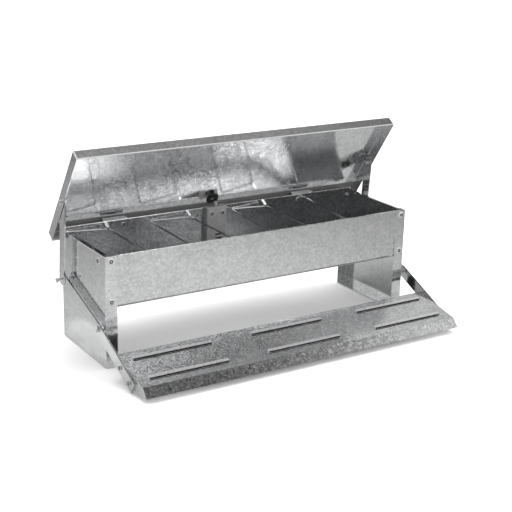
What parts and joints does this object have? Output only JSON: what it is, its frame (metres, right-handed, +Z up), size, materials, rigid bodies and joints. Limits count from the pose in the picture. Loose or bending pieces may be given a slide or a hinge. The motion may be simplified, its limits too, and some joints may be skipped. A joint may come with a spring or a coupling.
{
  "type": "treadle chicken feeder",
  "caption": "Galvanised sheet trough feeder: pressing the front treadle lifts the hinged lid through side levers and links; a wire grille guards the feed.",
  "frame": {"origin": "on the ground under the middle of the whole outline, in the pose with the treadle down and the lid open", "axes": "+X along the trough to the right, +Y from the treadle to the back, +Z up"},
  "size_m": [0.6444, 0.3435, 0.3416],
  "materials": {
    "arm_nut_left_finish": "bright zinc plated",
    "arm_nut_right_finish": "bright zinc plated",
    "arm_rivet_left_1_finish": "bright zinc plated",
    "arm_rivet_left_2_finish": "bright zinc plated",
    "arm_rivet_right_1_finish": "bright zinc plated",
    "arm_rivet_right_2_finish": "bright zinc plated",
    "bumper_disc_finish": "galvanised, spangled",
    "damper_cap_finish": "matte",
    "damper_cylinder_finish": "galvanised, spangled",
    "damper_housing_finish": "galvanised, spangled",
    "damper_plunger_finish": "satin",
    "damper_rivet_left_finish": "bright zinc plated",
    "damper_rivet_right_finish": "bright zinc plated",
    "end_panel_left_finish": "galvanised, spangled",
    "end_panel_right_finish": "galvanised, spangled",
    "front_rivet_left_lower_finish": "bright zinc plated",
    "front_rivet_left_upper_finish": "bright zinc plated",
    "front_rivet_right_lower_finish": "bright zinc plated",
    "front_rivet_right_upper_finish": "bright zinc plated",
    "grille_wire_finish": "bright zinc plated",
    "hinge_leaf_body_left_finish": "galvanised, spangled",
    "hinge_leaf_body_right_finish": "galvanised, spangled",
    "hinge_leaf_lid_left_finish": "galvanised, spangled",
    "hinge_leaf_lid_right_finish": "galvanised, spangled",
    "hinge_pin_left_finish": "bright zinc plated",
    "hinge_pin_right_finish": "bright zinc plated",
    "hinge_rivet_body_left_finish": "bright zinc plated",
    "hinge_rivet_body_right_finish": "bright zinc plated",
    "hinge_rivet_lid_left_finish": "bright zinc plated",
    "hinge_rivet_lid_right_finish": "bright zinc plated",
    "lid_finish": "galvanised, spangled",
    "lid_bolt_left_finish": "bright zinc plated",
    "lid_bolt_right_finish": "bright zinc plated",
    "lid_bumper_finish": "matte",
    "lid_nut_left_finish": "bright zinc plated",
    "lid_nut_right_finish": "bright zinc plated",
    "link_bolt_left_finish": "bright zinc plated",
    "link_bolt_right_finish": "bright zinc plated",
    "link_left_finish": "galvanised, spangled",
    "link_right_finish": "galvanised, spangled",
    "pivot_bolt_left_finish": "bright zinc plated",
    "pivot_bolt_right_finish": "bright zinc plated",
    "pivot_nut_left_finish": "bright zinc plated",
    "pivot_nut_right_finish": "bright zinc plated",
    "pivot_spacer_left_finish": "bright zinc plated",
    "pivot_spacer_right_finish": "bright zinc plated",
    "rear_rivet_left_lower_finish": "bright zinc plated",
    "rear_rivet_left_upper_finish": "bright zinc plated",
    "rear_rivet_right_lower_finish": "bright zinc plated",
    "rear_rivet_right_upper_finish": "bright zinc plated",
    "side_rivet_left_finish": "bright zinc plated",
    "side_rivet_right_finish": "bright zinc plated",
    "treadle_arm_left_finish": "galvanised, spangled",
    "treadle_arm_right_finish": "galvanised, spangled",
    "treadle_plate_finish": "galvanised, spangled",
    "trough_finish": "galvanised, spangled"
  },
  "bodies": {
    "feeder_body": {"damper_cylinder": "damper_cylinder_finish", "damper_housing": "damper_housing_finish", "damper_rivet_left": "damper_rivet_left_finish", "damper_rivet_right": "damper_rivet_right_finish", "end_panel_left": "end_panel_left_finish", "end_panel_right": "end_panel_right_finish", "front_rivet_left_lower": "front_rivet_left_lower_finish", "front_rivet_left_upper": "front_rivet_left_upper_finish", "front_rivet_right_lower": "front_rivet_right_lower_finish", "front_rivet_right_upper": "front_rivet_right_upper_finish", "grille_wire": "grille_wire_finish", "hinge_leaf_body_left": "hinge_leaf_body_left_finish", "hinge_leaf_body_right": "hinge_leaf_body_right_finish", "hinge_pin_left": "hinge_pin_left_finish", "hinge_pin_right": "hinge_pin_right_finish", "hinge_rivet_body_left": "hinge_rivet_body_left_finish", "hinge_rivet_body_right": "hinge_rivet_body_right_finish", "pivot_bolt_left": "pivot_bolt_left_finish", "pivot_bolt_right": "pivot_bolt_right_finish", "pivot_nut_left": "pivot_nut_left_finish", "pivot_nut_right": "pivot_nut_right_finish", "pivot_spacer_left": "pivot_spacer_left_finish", "pivot_spacer_right": "pivot_spacer_right_finish", "rear_rivet_left_lower": "rear_rivet_left_lower_finish", "rear_rivet_left_upper": "rear_rivet_left_upper_finish", "rear_rivet_right_lower": "rear_rivet_right_lower_finish", "rear_rivet_right_upper": "rear_rivet_right_upper_finish", "side_rivet_left": "side_rivet_left_finish", "side_rivet_right": "side_rivet_right_finish", "trough": "trough_finish"},
    "treadle": {"arm_nut_left": "arm_nut_left_finish", "arm_nut_right": "arm_nut_right_finish", "arm_rivet_left_1": "arm_rivet_left_1_finish", "arm_rivet_left_2": "arm_rivet_left_2_finish", "arm_rivet_right_1": "arm_rivet_right_1_finish", "arm_rivet_right_2": "arm_rivet_right_2_finish", "treadle_arm_left": "treadle_arm_left_finish", "treadle_arm_right": "treadle_arm_right_finish", "treadle_plate": "treadle_plate_finish"},
    "lid": {"bumper_disc": "bumper_disc_finish", "hinge_leaf_lid_left": "hinge_leaf_lid_left_finish", "hinge_leaf_lid_right": "hinge_leaf_lid_right_finish", "hinge_rivet_lid_left": "hinge_rivet_lid_left_finish", "hinge_rivet_lid_right": "hinge_rivet_lid_right_finish", "lid": "lid_finish", "lid_bolt_left": "lid_bolt_left_finish", "lid_bolt_right": "lid_bolt_right_finish", "lid_bumper": "lid_bumper_finish", "lid_nut_left": "lid_nut_left_finish", "lid_nut_right": "lid_nut_right_finish"},
    "link_left": {"link_left": "link_left_finish", "link_bolt_left": "link_bolt_left_finish"},
    "link_right": {"link_right": "link_right_finish", "link_bolt_right": "link_bolt_right_finish"},
    "plunger": {"damper_cap": "damper_cap_finish", "damper_plunger": "damper_plunger_finish"}
  },
  "joints": [
    {"name": "treadle_hinge", "type": "hinge", "parent": "feeder_body", "child": "treadle", "pos_m": [0, -0.00874, 0.068], "axis": [-1, 0, 0], "range_deg": [0, 20.11]},
    {"name": "lid_hinge", "type": "hinge", "parent": "feeder_body", "child": "lid", "pos_m": [0, 0.15166, 0.1925], "axis": [1, 0, 0], "range_deg": [0, 56.11]},
    {"name": "link_left_hinge", "type": "hinge", "parent": "lid", "child": "link_left", "pos_m": [-0.3114, 0.1133, 0.246], "axis": [-1, 0, 0], "range_deg": [0, 41.45]},
    {"name": "link_right_hinge", "type": "hinge", "parent": "lid", "child": "link_right", "pos_m": [0.3114, 0.1133, 0.246], "axis": [-1, 0, 0], "range_deg": [0, 41.45]},
    {"name": "plunger_slide", "type": "slide", "parent": "feeder_body", "child": "plunger", "axis": [0, 0, -1], "range_m": [0, 0.01708]}
  ],
  "couplings": [
    {"joint": "lid_hinge", "follows": "treadle_hinge", "ratio": 2.7892},
    {"joint": "link_left_hinge", "follows": "treadle_hinge", "ratio": 2.0603},
    {"joint": "link_right_hinge", "follows": "treadle_hinge", "ratio": 2.0603},
    {"joint": "plunger_slide", "follows": "treadle_hinge", "m_per_rad": 0.048626}
  ]
}
